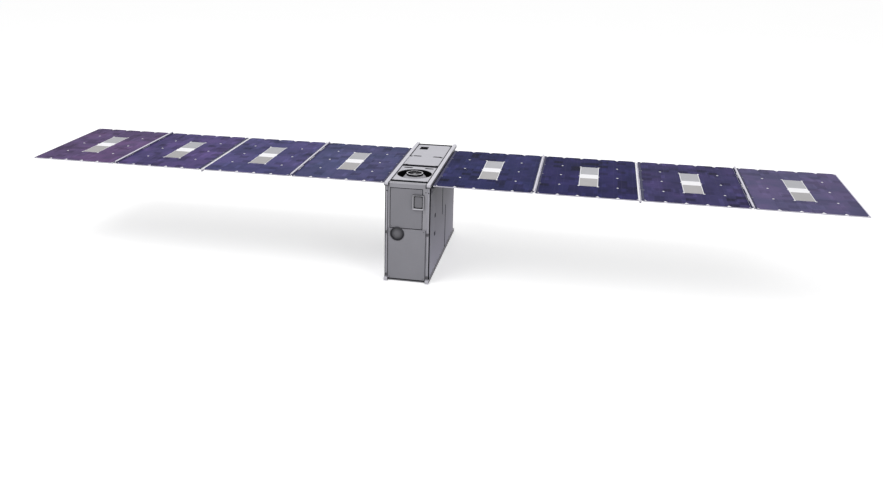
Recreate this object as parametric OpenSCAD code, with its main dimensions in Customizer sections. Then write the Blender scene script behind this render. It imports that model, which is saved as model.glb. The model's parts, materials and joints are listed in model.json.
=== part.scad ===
// Six-unit nanosatellite: a rail-framed bus with two four-panel solar wings.
// Each wing folds like an accordion, flat against the side of the bus.
// +X points along the right wing, +Y to the rear and +Z up.
// The origin is on the floor, under the middle of the rails.

/* [Rails and posts] */
// Width of the bus over the rails
bus_w = 100; // [96:0.5:112]
// Height of the bus over the rails
bus_h = 226.3; // [222:0.1:240]
// Length of the rails
rail_len = 366; // [356:1:390]
// Width and height of a rail
rail_w = 8.5; // [7.5:0.1:9.5]
// Radius on a rail's edges
rail_round = 1; // [0.5:0.1:1.6]
// Radius of the tapped hole in a rail's rear end
rail_hole_r = 1.25; // [1:0.05:1.6]
// Depth of the tapped hole in a rail's rear end
rail_hole_d = 10; // [6:1:16]
// Reach of the rail's inner flange, which carries the skins
flange_h = 7; // [5:0.5:10]
// Thickness of the rail's inner flange
flange_t = 2.5; // [1.5:0.1:3]
// Depth of a corner post, front to back
post_d = 8.5; // [6:0.5:12]
// Width and depth of the groove down a post's outer face
groove = 1; // [0.5:0.1:1.5]
// Groove, from the post's outer side
groove_in = 4.4; // [3:0.1:5]

/* [Skins and bulkheads] */
// Front face, set back from the rails' tips
front_inset = 6.5; // [6:0.1:8]
// Rear face, set back from the rails' tips
rear_inset = 19.5; // [8:0.5:24]
// Thickness of the side and bottom skins
skin_t = 2; // [1.5:0.1:2.5]
// Side skins, set back from the rails' outer faces
skin_inset = 0.5; // [0.3:0.1:1.5]
// Bottom skin, set back from the rails' undersides
bottom_inset = 1; // [0.5:0.1:1.5]
// Thickness of the front and rear bulkheads
bulkhead_t = 3; // [2.6:0.1:4]
// Open gap between neighbouring plates
seam = 0.8; // [0.4:0.1:1.2]
// Side plates, behind the front face
side_front_gap = 6; // [2:0.5:10]
// Side plates, ahead of the rear face
side_rear_gap = 3; // [1:0.5:10]
// Gap between the side plates and the rails
side_rail_gap = 2.6; // [1:0.1:4]
// Gap at the upright parts of the stepped side seam
side_seam = 8; // [2:0.5:10]
// Gap at the level part of the stepped side seam
step_seam = 0.3; // [0.2:0.1:1]
// Upright parts of the side seam, past the level part
step_lap = 5; // [2:0.5:8]
// Dark seals, below the faces of the plates beside them
seal_drop = 0.2; // [0.1:0.05:0.5]
// Thickness of the dark seals on the front face
seal_t = 1; // [0.6:0.1:1.4]
// Side seam above the step, behind the front face
seam_upper_y = 161; // [120:0.5:190]
// Side seam below the step, behind the front face
seam_lower_y = 206; // [195:0.5:260]
// Height of the step in the side seam
seam_step_z = 111.5; // [90:0.5:140]
// Width of a plugged window in the side skin
vent_w = 14; // [8:0.5:18]
// Height of a plugged window in the side skin
vent_h = 9.5; // [6:0.5:12]
// Corner radius of a plugged window
vent_round = 2; // [1:0.5:2.5]
// Plugged windows in the side skin, behind the front face
vent_y = 66; // [30:1:100]
// Heights of the plugged windows
vent_z = [94, 136];

/* [Front face] */
// Width of the upper front panel
upper_w = 69; // [60:0.5:72]
// Height of the upper front panel
upper_h = 88.5; // [80:0.5:100]
// Thickness of the upper front panel
upper_t = 1.5; // [1:0.1:2]
// Centre of the upper front panel, sideways
upper_x = -2.8; // [-3:0.1:3]
// Top edge of the upper front panel, below the rails' tops
upper_drop = 14.3; // [12:0.1:20]
// Gap around the upper front panel
upper_gap = 1.6; // [0.8:0.1:2.5]
// Lip of the bulkhead behind the upper front panel
upper_lip = 3; // [2:0.5:5]
// Width of the lower front panel
lower_w = 81; // [70:0.5:82]
// Centre of the lower front panel, sideways
lower_x = -0.3; // [-0.5:0.1:0.5]
// Thickness of the lower front panel
lower_t = 2.5; // [1.5:0.1:3]
// Bottom edge of the lower front panel
lower_z = 7; // [4:0.5:12]
// Step between the two front panels
panel_split = 2; // [1:0.1:4]
// Width of the sensor frame
bezel_w = 25.5; // [22:0.5:28]
// Height of the sensor frame
bezel_h = 33; // [28:0.5:36]
// Depth of the sensor frame, off the front face
bezel_t = 4.5; // [2.5:0.1:5]
// Width of the sensor frame's border
bezel_border = 3.2; // [2.5:0.1:5]
// Cut across the sensor opening's upper corners
bezel_cut = 3; // [1:0.5:5]
// Centre of the sensor frame, sideways
bezel_x = 23.7; // [18:0.1:26]
// Centre of the sensor frame, below the rails' tops
bezel_drop = 42.1; // [36:0.1:60]
// Thickness of the sensor glass and of the dome's edge
glass_t = 1; // [0.8:0.1:1.5]
// Radius of the round aperture's ring
aperture_r = 15.3; // [12:0.1:16]
// Width of the aperture's ring
aperture_rim = 1.3; // [1:0.1:2]
// Depth of the aperture's ring, off the front face
aperture_t = 2.8; // [2.6:0.1:4]
// Rise of the aperture's dome over its seat
dome_rise = 5.4; // [2:0.1:5.8]
// Centre of the aperture, sideways
aperture_x = -21.5; // [-24:0.1:-16]
// Centre of the aperture, below the lower panel's top edge
aperture_drop = 11.5; // [8:0.1:14]
// Width of a post clip
clip_w = 5.6; // [4:0.1:6]
// Height of a post clip
clip_h = 6.5; // [4:0.5:12]
// Thickness of a post clip
clip_t = 1.2; // [0.8:0.1:2]
// Middle of a lower clip, above the lower panel's bottom edge
clip_up = 6.5; // [4:0.5:12]
// Middle of an upper clip, below the lower panel's top edge
clip_down = 9.5; // [4:0.5:14]

/* [Top deck] */
// Deck plates, below the rails' tops
deck_drop = 1.8; // [1.7:0.1:3]
// Thickness of the deck plates
deck_t = 2; // [1.5:0.1:2.5]
// Thickness of the dark tray under the deck plates
tray_t = 3; // [2:0.1:3.5]
// Dark slot behind the front beam
slot_w = 13; // [4:0.5:14]
// Dark slot between the two deck plates
mid_slot_w = 16; // [4:0.5:18]
// Dark lip behind the rear face
rear_lip = 12; // [4:0.5:14]
// Dark gap between the deck plates and the left rail
deck_gap_left = 1.8; // [1:0.1:3]
// Dark gap between the deck plates and the right rail
deck_gap_right = 2.6; // [1:0.1:4]
// Depth of the front beam, front to back
beam_d = 9.5; // [8:0.5:14]
// Radius on the front beam's top edge
beam_round = 2.5; // [0.5:0.1:2.5]
// Length of the front deck plate
front_plate_d = 114; // [110:1:140]
// Width of the narrow slots in the deck plates
lid_slot_w = 6.8; // [1.5:0.1:7]
// Length of the narrow slots in the deck plates
lid_slot_l = 20; // [14:0.5:24]
// Middle of a narrow slot, off the deck's centre line
lid_slot_x = 23.5; // [20:0.5:27]
// Narrow slots in the front plate, ahead of its rear edge
front_slot_y = 11; // [8:0.5:18]
// Length of the rear cover's lid, from its narrow slots to its rear edge
lid_d = 109; // [70:0.5:116]
// Cover's left edge ahead of the lid, off the rail
cover_gap = 0.4; // [0.2:0.1:1]
// Side of the notches in the rear cover's front corners
notch = 6; // [4:0.5:8]
// Width of the port in the rear cover
port_w = 19; // [14:0.5:24]
// Length of the port in the rear cover
port_l = 25; // [18:0.5:30]
// Centre of the port, sideways
port_x = -21.5; // [-25:0.5:-15]
// Centre of the port, ahead of the rear cover's rear edge
port_y = 32; // [18:0.5:36]
// Height of the port's body on the tray
port_h = 1.4; // [0.8:0.1:1.5]

/* [Optics] */
// Deck left beside the round opening
optics_rim = 1.2; // [1:0.1:3]
// Centre of the round opening, behind the front face
optics_y = 76.5; // [72:0.5:84]
// Depth of the well below the deck's top
well_depth = 14; // [10:0.5:20]
// Wall and floor thickness of the well
well_wall = 1.5; // [1:0.1:1.8]
// Lens, behind the centre of the round opening
lens_back = 3.5; // [0:0.5:5]
// Radius of the lens cone at its foot
cone_r = 30; // [26:0.5:32]
// Radius of the lens cone under the ring
neck_r = 21; // [19.5:0.1:24]
// Radius of the lens ring
ring_r = 18.4; // [17:0.1:19]
// Height of the lens ring
ring_h = 5; // [3:0.1:6]
// Lens ring, above the deck's top
ring_proud = 1.6; // [0:0.1:1.7]
// Bevel on the lens ring
ring_bevel = 0.8; // [0.4:0.1:1.2]
// Radius of the lens ring's bore
lens_r = 16.2; // [13:0.1:16.4]
// Front glass, below the ring's top
lens_sink = 1.2; // [0.6:0.1:2]
// Radius of curvature of the front glass
lens_curve = 34; // [24:1:60]
// Gap around the front glass
lens_fit = 0.1; // [0.05:0.05:0.3]
// Edge thickness of the front glass
lens_edge = 1; // [0.5:0.1:2]

/* [Equipment block] */
// Width of the avionics and battery block
block_w = 76; // [60:1:78]
// Length of the avionics and battery block
block_l = 200; // [150:1:220]
// Height of the avionics and battery block
block_h = 150; // [100:1:170]
// Room behind the block, to the rear bulkhead
block_room = 15.5; // [2:0.5:40]

/* [Solar panels] */
// Panels in each wing
panels = 4; // [4]
// Columns of cells on a panel
cell_cols = 5; // [5]
// Rows of cells on a panel
cell_rows = 4; // [4]
// Width of a cell
cell_w = 40; // [37:0.1:41]
// Length of a cell
cell_d = 76.8; // [70:0.1:80]
// Thickness of a cell
cell_t = 0.3; // [0.2:0.05:0.5]
// Gap between cells
cell_gap = 0.2; // [0.1:0.1:1]
// Cut across a cell's corners
cell_crop = 3.2; // [2:0.1:5]
// Thickness of a panel's board
board_t = 2; // [1.6:0.1:3]
// Corner radius of a board
board_round = 2; // [1:0.5:2.5]
// Bare strip along a board's inner edge
margin_in = 6.2; // [5.4:0.1:10]
// Bare strip along a board's outer edge
margin_out = 3; // [2.8:0.1:5]
// Bare strip along a board's front and rear edges
margin_end = 1.1; // [0.8:0.1:3]
// White band across the middle of a panel
band_d = 33; // [24:1:44]
// Bare border around a grey plate
plate_border = 1.4; // [1:0.1:4]
// Thickness of a grey plate
plate_t = 0.3; // [0.2:0.05:0.5]
// Face of the cells, below the rails' tops
wing_drop = 5.3; // [5:0.1:8]
// Front edge of the wings, behind the rails' tips
wing_inset = 15; // [10:0.5:30]

/* [Hinges] */
// Clear space between two folded panels
fold_clear = 5; // [5:0.1:7]
// Gap between neighbouring boards
board_gap = 3; // [2.6:0.1:4]
// Gap between the rails and the first board
root_gap = 2.5; // [2.2:0.1:3.5]
// Root hinge's axis, off the rail's outer face
root_axis = 3; // [2.8:0.1:4]
// Running gap between a knuckle and the boards
knuckle_clear = 0.3; // [0.2:0.05:0.5]
// Knuckles in one hinge line
knuckles = 7; // [7]
// Gap between neighbouring knuckles
knuckle_gap = 0.4; // [0.3:0.1:0.8]
// End of the hinge line, in from the board's end
hinge_inset = 3; // [2:0.5:6]
// Thickness of a hinge leaf on a board
leaf_t = 0.8; // [0.5:0.1:1]
// Width of a hinge leaf on a board
leaf_w = 1.8; // [1.4:0.1:2]
// Thickness of the fixed leaf on the bus
root_leaf_t = 1; // [0.6:0.1:1.1]
// Height of the fixed leaf on the bus
root_leaf_h = 14; // [10:0.5:20]
// Radius of a hinge pin
pin_r = 1; // [0.7:0.05:1.3]
// Running clearance around a hinge pin
pin_clear = 0.05; // [0.02:0.01:0.1]
// Pin, beyond the end knuckles
pin_proud = 1; // [0.5:0.1:1.5]

/* [Hidden] */
$fn = 64;
// Overcut of a through hole
eps = 0.5;
SIDES = ["left", "right"];
PANEL_NODES = ["board", "cells", "plates", "hinges"];
BUS_NODES = [
    "rail_top_left", "rail_top_right", "rail_bottom_left", "rail_bottom_right", "corner_posts",
    "front_bulkhead", "front_upper_panel", "front_lower_panel", "post_clips",
    "sensor_bezel", "sensor_glass", "aperture_ring", "aperture_dome",
    "top_tray", "top_front_plate", "top_rear_cover", "top_port",
    "optics_well", "lens_barrel", "lens_glass",
    "side_skins_left", "side_skins_right", "seal_strips", "bottom_skin", "rear_bulkhead",
    "equipment_block", "root_hinge_leaves"
];

// Bus faces
half_w = bus_w / 2;
rail_in = half_w - rail_w;
y_tip_front = -rail_len / 2;
y_tip_rear = rail_len / 2;
y_front = y_tip_front + front_inset;
y_rear = y_tip_rear - rear_inset;
y_in_front = y_front + bulkhead_t;
y_in_rear = y_rear - bulkhead_t;
x_skin = half_w - skin_inset;
x_post = x_skin - skin_t;
z_deck = bus_h - deck_drop;
z_tray = z_deck - deck_t;

// Front face
upper_top = bus_h - upper_drop;
upper_bottom = upper_top - upper_h;
lower_top = upper_bottom - panel_split;
// Places of the clips on the front posts, beside the lower panel
clip_x = (rail_in + x_post) / 2;
clip_z = [lower_z + clip_up, lower_top - clip_down];
aperture_z = lower_top - aperture_drop;
bezel_z = bus_h - bezel_drop;
sensor_w = bezel_w - 2 * bezel_border;
sensor_h = bezel_h - 2 * bezel_border;

// Top deck, front to back
y_front_plate = y_front + beam_d + slot_w;
y_front_plate_end = y_front_plate + front_plate_d;
y_cover = y_front_plate_end + mid_slot_w;
y_slots = y_rear - lid_d;
y_lip = y_rear + rear_lip;
deck_left = -rail_in + deck_gap_left;
deck_right = rail_in - deck_gap_right;
deck_x = (deck_left + deck_right) / 2;
optics_r = (deck_right - deck_left) / 2 - optics_rim;
y_optics = y_front + optics_y;
y_lens = y_optics + lens_back;
z_well = z_deck - well_depth;
z_ring = z_deck + ring_proud;

// Solar panels
cell_pitch_x = cell_w + cell_gap;
cell_pitch_y = cell_d + cell_gap;
board_w = margin_in + cell_cols * cell_pitch_x - cell_gap + margin_out;
board_d = cell_rows * cell_pitch_y - cell_gap + 2 * margin_end;
y_wing = y_tip_front + wing_inset;
z_face = bus_h - wing_drop;
z_board_top = z_face - cell_t;
z_board_back = z_board_top - board_t;
mid_col = floor(cell_cols / 2);
mid_rows = [cell_rows / 2 - 1, cell_rows / 2];
window_d = 2 * cell_pitch_y - cell_gap;
plate_d = (window_d - band_d) / 2 - plate_border;

// Hinges: a top hinge stands over the cells, and a bottom hinge hangs under the boards
rise_top = cell_t + fold_clear / 2;
rise_bottom = fold_clear / 2;
knuckle_r = fold_clear / 2 - knuckle_clear;
y_hinge = y_wing + hinge_inset;
hinge_l = board_d - 2 * hinge_inset;
knuckle_pitch = (hinge_l + knuckle_gap) / knuckles;
knuckle_l = knuckle_pitch - knuckle_gap;
x_root = half_w + root_axis;
z_root = z_board_back - rise_bottom;

function board_x(n) = half_w + root_gap + (n - 1) * (board_w + board_gap);
function hinge_x(n) = board_x(n) + board_w + board_gap / 2;
function is_top(n) = n % 2 == 1;
function hinge_rise(n) = is_top(n) ? rise_top : rise_bottom;
function hinge_z(n) = is_top(n) ? z_board_top + rise_top : z_board_back - rise_bottom;

// Shared shapes

// Rectangle about the origin with round corners
module round_rect(size, r) {
    square([size[0] - 2 * r, size[1]], center = true);
    square([size[0], size[1] - 2 * r], center = true);
    for (sx = [-1, 1], sy = [-1, 1])
        translate([sx * (size[0] / 2 - r), sy * (size[1] / 2 - r)]) circle(r);
}

// Slot about the origin, along the first axis, with round ends
module round_slot(l, w) {
    square([l - w, w], center = true);
    for (s = [-1, 1]) translate([s * (l - w) / 2, 0]) circle(d = w);
}

// Extrudes an X-Z outline from y0 to y1
module along_y(y0, y1) {
    translate([0, y1, 0]) rotate([90, 0, 0]) linear_extrude(y1 - y0) children();
}

// Extrudes a Y-Z outline from x0 to x1
module along_x(x0, x1) {
    translate([x0, 0, 0]) rotate([90, 0, 90]) linear_extrude(x1 - x0) children();
}

// Box between two corners
module block(low, high) {
    translate(low) cube(high - low);
}

// Right-hand shape, or its mirror image on the left
module on_side(side) {
    mirror([side == "left" ? 1 : 0, 0, 0]) children();
}

// Bus structure

// One right-hand bottom rail: a round-edged bar, its flange inside the skins, and its tapped rear end
module bottom_rail() {
    difference() {
        union() {
            intersection() {
                translate([half_w - rail_w / 2, 0, rail_w / 2]) {
                    along_y(y_tip_front, y_tip_rear) round_rect([rail_w, rail_w], rail_round);
                }
                translate([half_w - rail_w, 0, rail_w / 2])
                    along_x(0, rail_w) round_rect([rail_len, rail_w], rail_round);
                translate([half_w - rail_w / 2, 0, 0])
                    linear_extrude(rail_w) round_rect([rail_w, rail_len], rail_round);
            }
            block([x_post - flange_t, y_front + post_d, rail_w - rail_round],
                  [x_post, y_rear - post_d, rail_w + flange_h]);
        }
        translate([half_w - rail_w / 2, y_tip_rear + eps, rail_w / 2])
            rotate([90, 0, 0]) cylinder(r = rail_hole_r, h = rail_hole_d + eps);
    }
}

module rail(side, top) {
    color("gainsboro") on_side(side)
        translate([0, 0, top ? bus_h : 0]) mirror([0, 0, top ? 1 : 0]) bottom_rail();
}

// Four square posts between the rails, with a groove down each end face
module corner_posts() {
    color("darkgray") for (side = SIDES) on_side(side) {
        difference() {
            block([rail_in, y_front, rail_w], [x_post, y_front + post_d, bus_h - rail_w]);
            translate([x_post - groove_in - groove / 2, y_front - eps, rail_w - eps])
                cube([groove, groove + eps, bus_h]);
        }
        difference() {
            block([rail_in, y_rear - post_d, rail_w], [x_post, y_rear, bus_h - rail_w]);
            translate([x_post - groove_in - groove / 2, y_rear - groove, rail_w - eps])
                cube([groove, groove + eps, bus_h]);
        }
    }
}

// Front bulkhead in Y-Z: a plate with a round-edged beam along its top
module front_bulkhead_outline() {
    translate([y_front, bottom_inset]) square([bulkhead_t, z_deck - beam_round - bottom_inset]);
    translate([y_front + beam_round, z_tray]) square([beam_d - beam_round, deck_t]);
    translate([y_front + beam_round, z_deck - beam_round]) intersection() {
        circle(beam_round);
        translate([-beam_round, 0]) square(beam_round);
    }
    translate([y_front + beam_round, z_deck - beam_round - eps])
        square([bulkhead_t - beam_round, beam_round + eps]);
}

// Front bulkhead, with a rebated opening for the upper panel
module front_bulkhead() {
    color("darkgray") difference() {
        along_x(-rail_in, rail_in) front_bulkhead_outline();
        translate([upper_x - upper_w / 2 - upper_gap, y_front - eps, upper_bottom - upper_gap])
            cube([upper_w + 2 * upper_gap, upper_t + eps, upper_h + 2 * upper_gap]);
        translate([upper_x - upper_w / 2 + upper_lip, y_front - eps, upper_bottom + upper_lip])
            cube([upper_w - 2 * upper_lip, bulkhead_t + 2 * eps, upper_h - 2 * upper_lip]);
    }
}

module rear_bulkhead() {
    color("darkgray") block([-rail_in, y_in_rear, bottom_inset], [rail_in, y_rear, z_tray - tray_t]);
}

// Side skin outline in Y-Z: the front plate with its windows, or the rear plate past the stepped seam
module side_outline(front) {
    y0 = y_front + side_front_gap;
    y1 = y_rear - side_rear_gap;
    z0 = rail_w + side_rail_gap;
    z1 = bus_h - rail_w - side_rail_gap;
    upper_y = y_front + seam_upper_y;
    lower_y = y_front + seam_lower_y;
    step_top = seam_step_z + step_seam;
    if (front)
        difference() {
            polygon([[y0, z0], [lower_y, z0], [lower_y, seam_step_z], [upper_y + side_seam, seam_step_z],
                     [upper_y + side_seam, seam_step_z - step_lap], [upper_y, seam_step_z - step_lap],
                     [upper_y, z1], [y0, z1]]);
            for (z = vent_z)
                translate([y_front + vent_y, z]) round_rect([vent_w, vent_h], vent_round);
        }
    else
        polygon([[lower_y + side_seam, z0], [y1, z0], [y1, z1], [upper_y + side_seam, z1],
                 [upper_y + side_seam, step_top], [lower_y, step_top],
                 [lower_y, step_top + step_lap], [lower_y + side_seam, step_top + step_lap]]);
}

module side_skins(side) {
    color("slategray") on_side(side) along_x(x_post, x_skin) {
        side_outline(true);
        side_outline(false);
    }
}

// Dark seals that fill the gaps round the side plates, the front panels and the deck plates
module seal_strips() {
    color("black") {
        for (side = SIDES) on_side(side) along_x(x_post, x_skin - seal_drop) difference() {
            translate([y_front, rail_w]) square([y_rear - y_front, bus_h - 2 * rail_w]);
            side_outline(true);
            side_outline(false);
        }
        along_y(y_front + upper_t - seal_t, y_front + upper_t)
            translate([upper_x, upper_bottom + upper_h / 2]) difference() {
                square([upper_w + 2 * upper_gap, upper_h + 2 * upper_gap], center = true);
                square([upper_w, upper_h], center = true);
            }
        along_y(y_front - seal_t, y_front) difference() {
            translate([-rail_in, lower_z]) square([2 * rail_in, lower_top - lower_z]);
            translate([lower_x - lower_w / 2, lower_z - eps])
                square([lower_w, lower_top - lower_z + 2 * eps]);
        }
        translate([0, 0, z_tray]) linear_extrude(deck_t - seal_drop) difference() {
            translate([-rail_in, y_front + beam_d]) square([2 * rail_in, y_lip - y_front - beam_d]);
            front_plate_outline();
            rear_cover_outline();
            translate([deck_x, y_optics]) circle(optics_r);
            port_outline();
        }
    }
}

module bottom_skin() {
    color("slategray")
        block([-rail_in, y_in_front, bottom_inset], [rail_in, y_in_rear, bottom_inset + skin_t]);
}

module equipment_block() {
    y_block = y_in_rear - block_room - block_l / 2;
    color("dimgray") translate([0, y_block, bottom_inset + skin_t + block_h / 2])
        cube([block_w, block_l, block_h], center = true);
}

// Front face

module front_upper_panel() {
    color("darkgray") block([upper_x - upper_w / 2, y_front, upper_bottom],
                            [upper_x + upper_w / 2, y_front + upper_t, upper_top]);
}

// Lower panel, proud of the bulkhead, with a round notch for the aperture
module front_lower_panel() {
    color("silver") along_y(y_front - lower_t, y_front) difference() {
        translate([lower_x - lower_w / 2, lower_z]) square([lower_w, lower_top - lower_z]);
        translate([aperture_x, aperture_z]) circle(aperture_r + seam);
        for (x = [-clip_x, clip_x]) for (z = clip_z)
            translate([x, z]) round_rect([clip_w + 2 * seam, clip_h + 2 * seam], rail_round);
    }
}

// Sensor window about its centre, with cut upper corners
module sensor_outline() {
    w = sensor_w / 2;
    h = sensor_h / 2;
    polygon([
        [-w, -h], [w, -h], [w, h - bezel_cut],
        [w - bezel_cut, h], [bezel_cut - w, h], [-w, h - bezel_cut]
    ]);
}

module sensor_bezel() {
    color("gainsboro") translate([bezel_x, 0, bezel_z]) along_y(y_front - bezel_t, y_front) difference() {
        round_rect([bezel_w, bezel_h], rail_round);
        sensor_outline();
    }
}

module sensor_glass() {
    color("dimgray") translate([bezel_x, 0, bezel_z])
        along_y(y_front - glass_t, y_front) sensor_outline();
}

// Turns a shape made about +Z to face forward at the aperture
module at_aperture() {
    translate([aperture_x, y_front, aperture_z]) rotate([90, 0, 0]) children();
}

module aperture_ring() {
    color("dimgray") at_aperture() difference() {
        cylinder(r = aperture_r, h = aperture_t);
        translate([0, 0, -eps]) cylinder(r = aperture_r - aperture_rim, h = aperture_t + 2 * eps);
    }
}

// Half outline of a dome of the given foot radius and rise, for turning
module dome_outline(r, rise, edge) {
    curve = (r * r + rise * rise) / (2 * rise);
    square([r, edge]);
    translate([0, edge]) intersection() {
        translate([0, rise - curve]) circle(curve, $fn = 360);
        square([r, rise]);
    }
}

module aperture_dome() {
    color("dimgray") at_aperture()
        rotate_extrude() dome_outline(aperture_r - aperture_rim, dome_rise - glass_t, glass_t);
}

module post_clips() {
    color("dimgray") for (side = SIDES) on_side(side) for (z = clip_z)
        translate([clip_x, 0, z])
            along_y(y_front - clip_t, y_front) round_rect([clip_w, clip_h], rail_round);
}

// Top deck

// Dark tray that closes the bus under the deck plates, with a round hole for the well
module top_tray() {
    color("dimgray") difference() {
        block([-rail_in, y_in_front, z_tray - tray_t], [rail_in, y_lip, z_tray]);
        translate([deck_x, y_optics, z_tray - tray_t - eps])
            cylinder(r = optics_r + well_wall, h = tray_t + 2 * eps);
    }
}

// A pair of narrow slots at one y
module lid_slots(y) {
    for (s = [-1, 1]) translate([s * lid_slot_x, y]) round_slot(lid_slot_l, lid_slot_w);
}

module front_plate_outline() {
    difference() {
        translate([deck_left, y_front_plate]) square([deck_right - deck_left, front_plate_d]);
        translate([deck_x, y_optics]) circle(optics_r);
        lid_slots(y_front_plate_end - front_slot_y);
    }
}

module top_front_plate() {
    color("lightgray") translate([0, 0, z_tray]) linear_extrude(deck_t) front_plate_outline();
}

module port_outline() {
    translate([port_x, y_rear - port_y]) square([port_w, port_l], center = true);
}

// Rear cover: notches in its front edge, narrow slots, a port, and a lid set in from the left rail
module rear_cover_outline() {
    front_left = -rail_in + cover_gap;
    difference() {
        union() {
            translate([front_left, y_cover]) square([deck_right - front_left, y_slots - y_cover]);
            translate([deck_left, y_slots - eps]) square([deck_right - deck_left, lid_d + eps]);
        }
        lid_slots(y_slots);
        port_outline();
        for (x = [deck_left + notch, deck_right - notch / 2]) translate([x, y_cover]) circle(notch / 2);
        translate([front_left, y_slots - lid_slot_w]) square([notch, lid_slot_w]);
        translate([lid_slot_x + lid_slot_l / 2, y_slots - lid_slot_w / 2]) circle(notch * 0.6);
    }
}

module top_rear_cover() {
    color("lightgray") translate([0, 0, z_tray]) linear_extrude(deck_t) rear_cover_outline();
}

// Dark socket in the rear cover, with a raised rim
module top_port() {
    rim = seam;
    color("black") translate([port_x, y_rear - port_y, z_tray]) difference() {
        linear_extrude(port_h) square([port_w - rim, port_l - rim], center = true);
        translate([0, 0, port_h / 2])
            linear_extrude(port_h) square([port_w - 4 * rim, port_l - 4 * rim], center = true);
    }
}

// Optics

// Black cup under the round opening
module optics_well() {
    color("black") translate([deck_x, y_optics, 0]) difference() {
        translate([0, 0, z_well - well_wall])
            cylinder(r = optics_r + well_wall, h = z_tray - z_well + well_wall);
        translate([0, 0, z_well]) cylinder(r = optics_r, h = well_depth);
    }
}

// Lens cone and ring, turned in one piece, with a seat for the front glass
module lens_barrel() {
    z_neck = z_ring - ring_h;
    z_seat = z_ring - lens_sink - lens_edge - lens_sag();
    ledge = 1.5;
    color("lightgray") translate([deck_x, y_lens, 0]) rotate_extrude() polygon([
        [0, z_well], [cone_r, z_well], [neck_r, z_neck], [ring_r, z_neck],
        [ring_r, z_ring - ring_bevel], [ring_r - ring_bevel, z_ring], [lens_r, z_ring],
        [lens_r, z_seat], [lens_r - ledge, z_seat], [lens_r - ledge, z_seat - ledge], [0, z_seat - ledge]
    ]);
}

// Height of the front glass's curve over its edge
function lens_sag() = lens_curve - sqrt(pow(lens_curve, 2) - pow(lens_r - lens_fit, 2));

module lens_glass() {
    color("midnightblue") translate([deck_x, y_lens, z_ring - lens_sink - lens_edge - lens_sag()])
        rotate_extrude() dome_outline(lens_r - lens_fit, lens_sag(), lens_edge);
}

// Solar panels: each is made on the right wing, and mirrored for the left one

module board(n) {
    color("lavender") translate([board_x(n) + board_w / 2, y_wing + board_d / 2, z_board_back])
        linear_extrude(board_t) round_rect([board_w, board_d], board_round);
}

// One cell with cropped corners, about its centre
module cell() {
    w = cell_w / 2;
    d = cell_d / 2;
    polygon([for (q = [[1, -1], [1, 1], [-1, 1], [-1, -1]])
        each q[0] * q[1] < 0
            ? [[q[0] * (w - cell_crop), q[1] * d], [q[0] * w, q[1] * (d - cell_crop)]]
            : [[q[0] * w, q[1] * (d - cell_crop)], [q[0] * (w - cell_crop), q[1] * d]]]);
}

// Rows and columns of cells, apart from the two in the middle
module cells(n) {
    x0 = board_x(n) + margin_in + cell_w / 2;
    y0 = y_wing + margin_end + cell_d / 2;
    color("midnightblue") translate([0, 0, z_board_top]) linear_extrude(cell_t)
        for (col = [0 : cell_cols - 1], row = [0 : cell_rows - 1])
            if (col != mid_col || (row != mid_rows[0] && row != mid_rows[1]))
                translate([x0 + col * cell_pitch_x, y0 + row * cell_pitch_y]) cell();
}

// Two grey plates on the bare middle of a panel, either side of the white band
module plates(n) {
    x = board_x(n) + margin_in + mid_col * cell_pitch_x + cell_w / 2;
    y = y_wing + board_d / 2;
    color("silver") translate([x, y, z_board_top]) linear_extrude(plate_t)
        for (s = [-1, 1]) translate([0, s * (band_d + plate_d) / 2])
            square([cell_w - 2 * plate_border, plate_d], center = true);
}

// Hinges, made about the axis with the board below and to the right

// Every second knuckle of a hinge line, from the first or from the second
module knuckle_row(first) {
    for (k = [first : 2 : knuckles - 1])
        along_y(y_hinge + k * knuckle_pitch, y_hinge + k * knuckle_pitch + knuckle_l) children();
}

// Cross-section of a knuckle and its foot on the board
module knuckle_outline(rise) {
    circle(knuckle_r);
    polygon([[0, 0], [knuckle_r, 0], [knuckle_r, leaf_t - rise], [knuckle_r + leaf_w, leaf_t - rise],
             [knuckle_r + leaf_w, -rise], [0, -rise]]);
}

module leaf_outline(rise) {
    translate([knuckle_r, -rise]) square([leaf_w, leaf_t]);
}

// Leaf that carries the pin and the odd knuckles
module pinned_half(rise) {
    knuckle_row(0) knuckle_outline(rise);
    along_y(y_hinge, y_hinge + hinge_l) leaf_outline(rise);
    along_y(y_hinge - pin_proud, y_hinge + hinge_l + pin_proud) circle(pin_r);
}

// Leaf that turns on the pin, with the even knuckles
module bored_half(rise) {
    difference() {
        union() {
            knuckle_row(1) knuckle_outline(rise);
            along_y(y_hinge, y_hinge + hinge_l) leaf_outline(rise);
        }
        along_y(y_hinge - eps, y_hinge + hinge_l + eps) circle(pin_r + pin_clear);
    }
}

// Puts a hinge half on the axis of hinge line n, over or under the boards
module on_hinge(n) {
    translate([hinge_x(n), 0, hinge_z(n)]) mirror([0, 0, is_top(n) ? 0 : 1]) children();
}

// Both hinge leaves of one panel: the inner one turns, and the outer one carries the next panel
module hinges(n) {
    color("gainsboro") {
        if (n == 1)
            translate([x_root, 0, z_root]) mirror([0, 0, 1]) bored_half(rise_bottom);
        else
            on_hinge(n - 1) bored_half(hinge_rise(n - 1));
        if (n < panels)
            on_hinge(n) mirror([1, 0, 0]) pinned_half(hinge_rise(n));
    }
}

// Fixed leaves on the side skins, with the root pins
module root_hinge_leaves() {
    reach = x_root - x_skin;
    color("gainsboro") for (side = SIDES) on_side(side) translate([x_root, 0, z_root]) {
        knuckle_row(0) {
            circle(knuckle_r);
            translate([-reach, -knuckle_r]) square([reach, knuckle_r]);
        }
        along_y(y_hinge, y_hinge + hinge_l)
            translate([-reach, -root_leaf_h]) square([root_leaf_t, root_leaf_h]);
        along_y(y_hinge - pin_proud, y_hinge + hinge_l + pin_proud) circle(pin_r);
    }
}

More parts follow.
